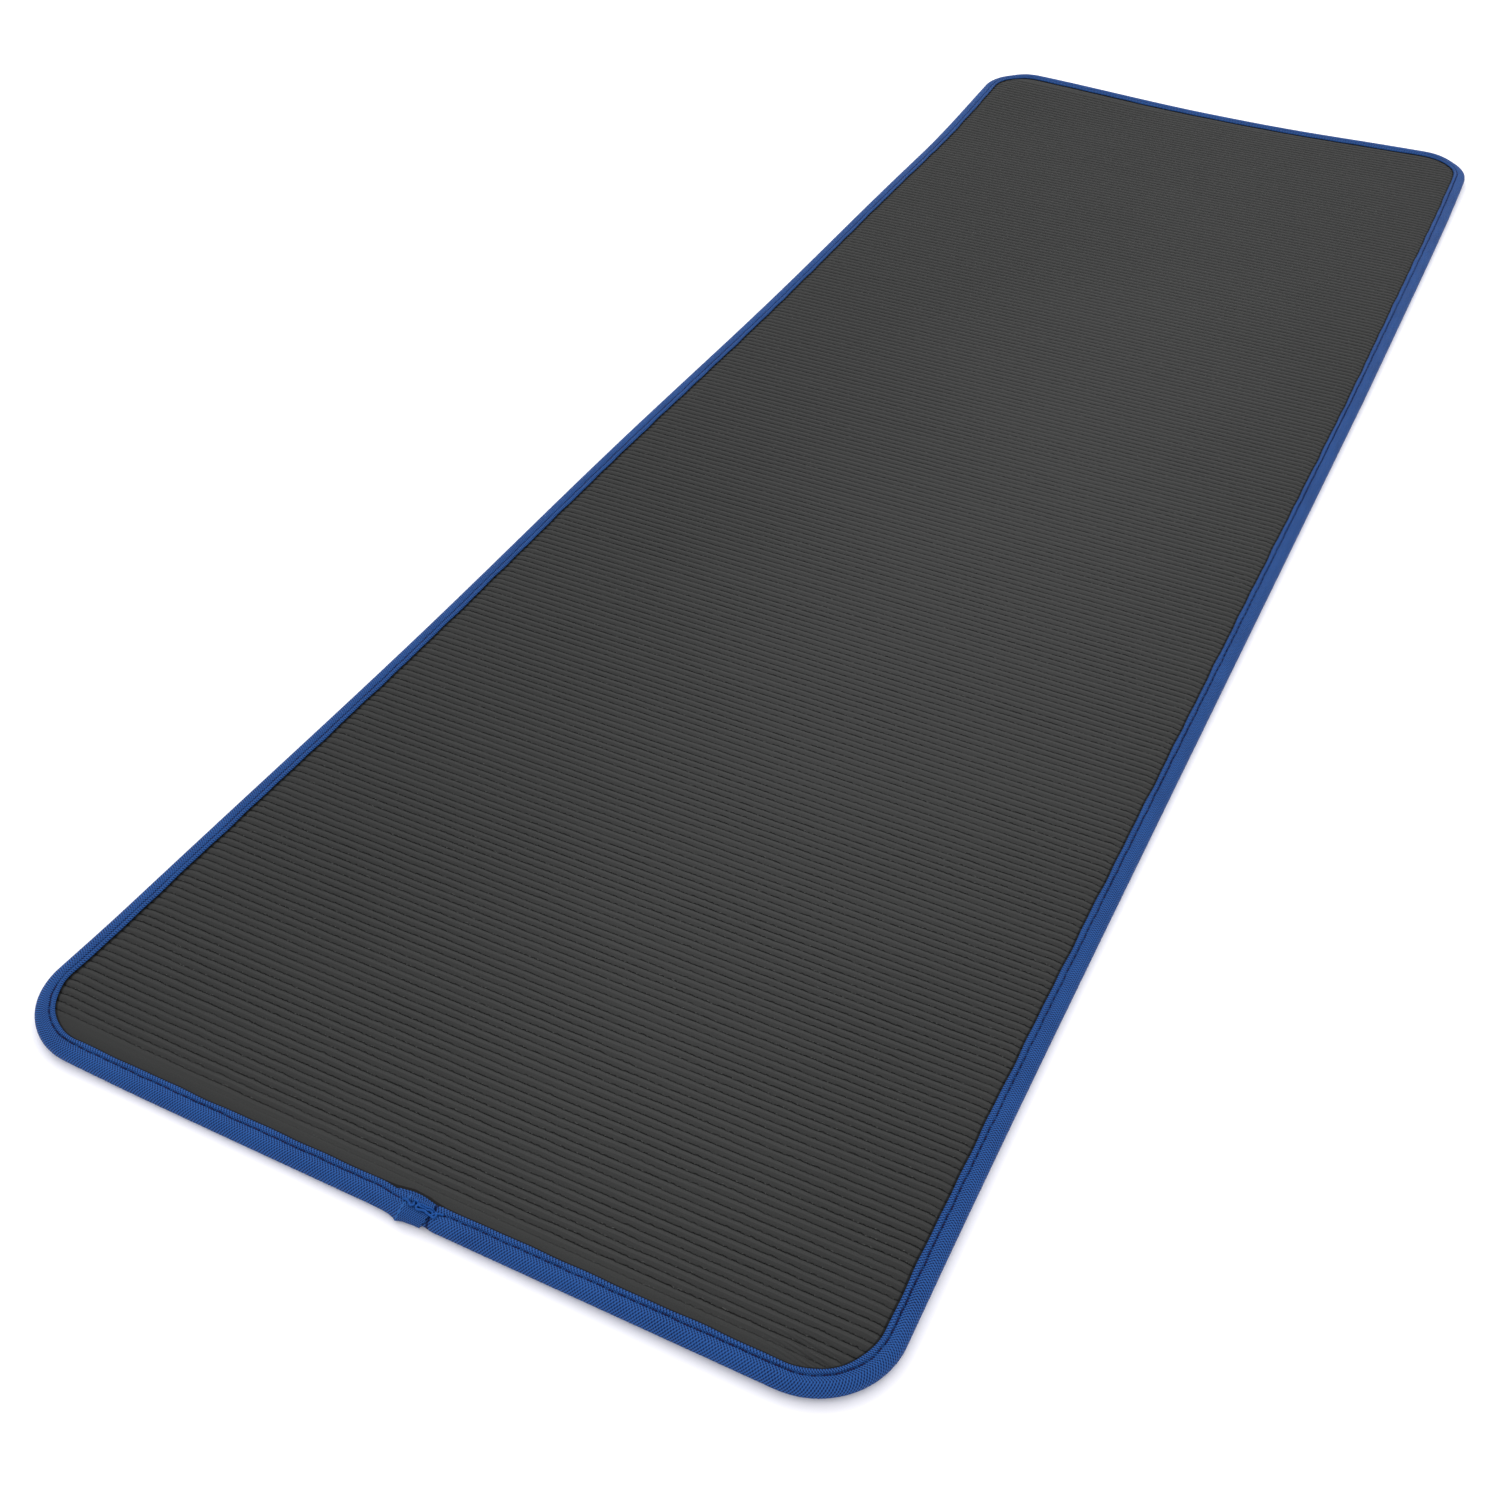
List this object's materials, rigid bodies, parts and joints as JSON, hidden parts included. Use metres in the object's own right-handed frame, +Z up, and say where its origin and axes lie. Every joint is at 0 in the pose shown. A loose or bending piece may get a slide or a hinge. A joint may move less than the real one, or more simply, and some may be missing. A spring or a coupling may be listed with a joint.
{
  "type": "exercise mat",
  "caption": "Thin roll-up foam floor mat with cross ribs, rounded corners and a stitched woven binding round its edge.",
  "frame": {"origin": "centre of the underside, which lies on the floor", "axes": "+Z up out of the top face, +Y along the mat's length away from the side with the binding's lap, +X across its width"},
  "size_m": [0.61, 1.83, 0.01],
  "materials": {
    "foam": "matt charcoal closed-cell foam, finely pitted",
    "binding": "royal blue woven polyester tape, slight sheen",
    "thread": "dark blue polyester sewing thread"
  },
  "bodies": {
    "root": {"foam_pad": "foam", "edge_binding_tape": "binding", "needle_thread": "thread", "bobbin_thread": "thread"}
  },
  "joints": []
}
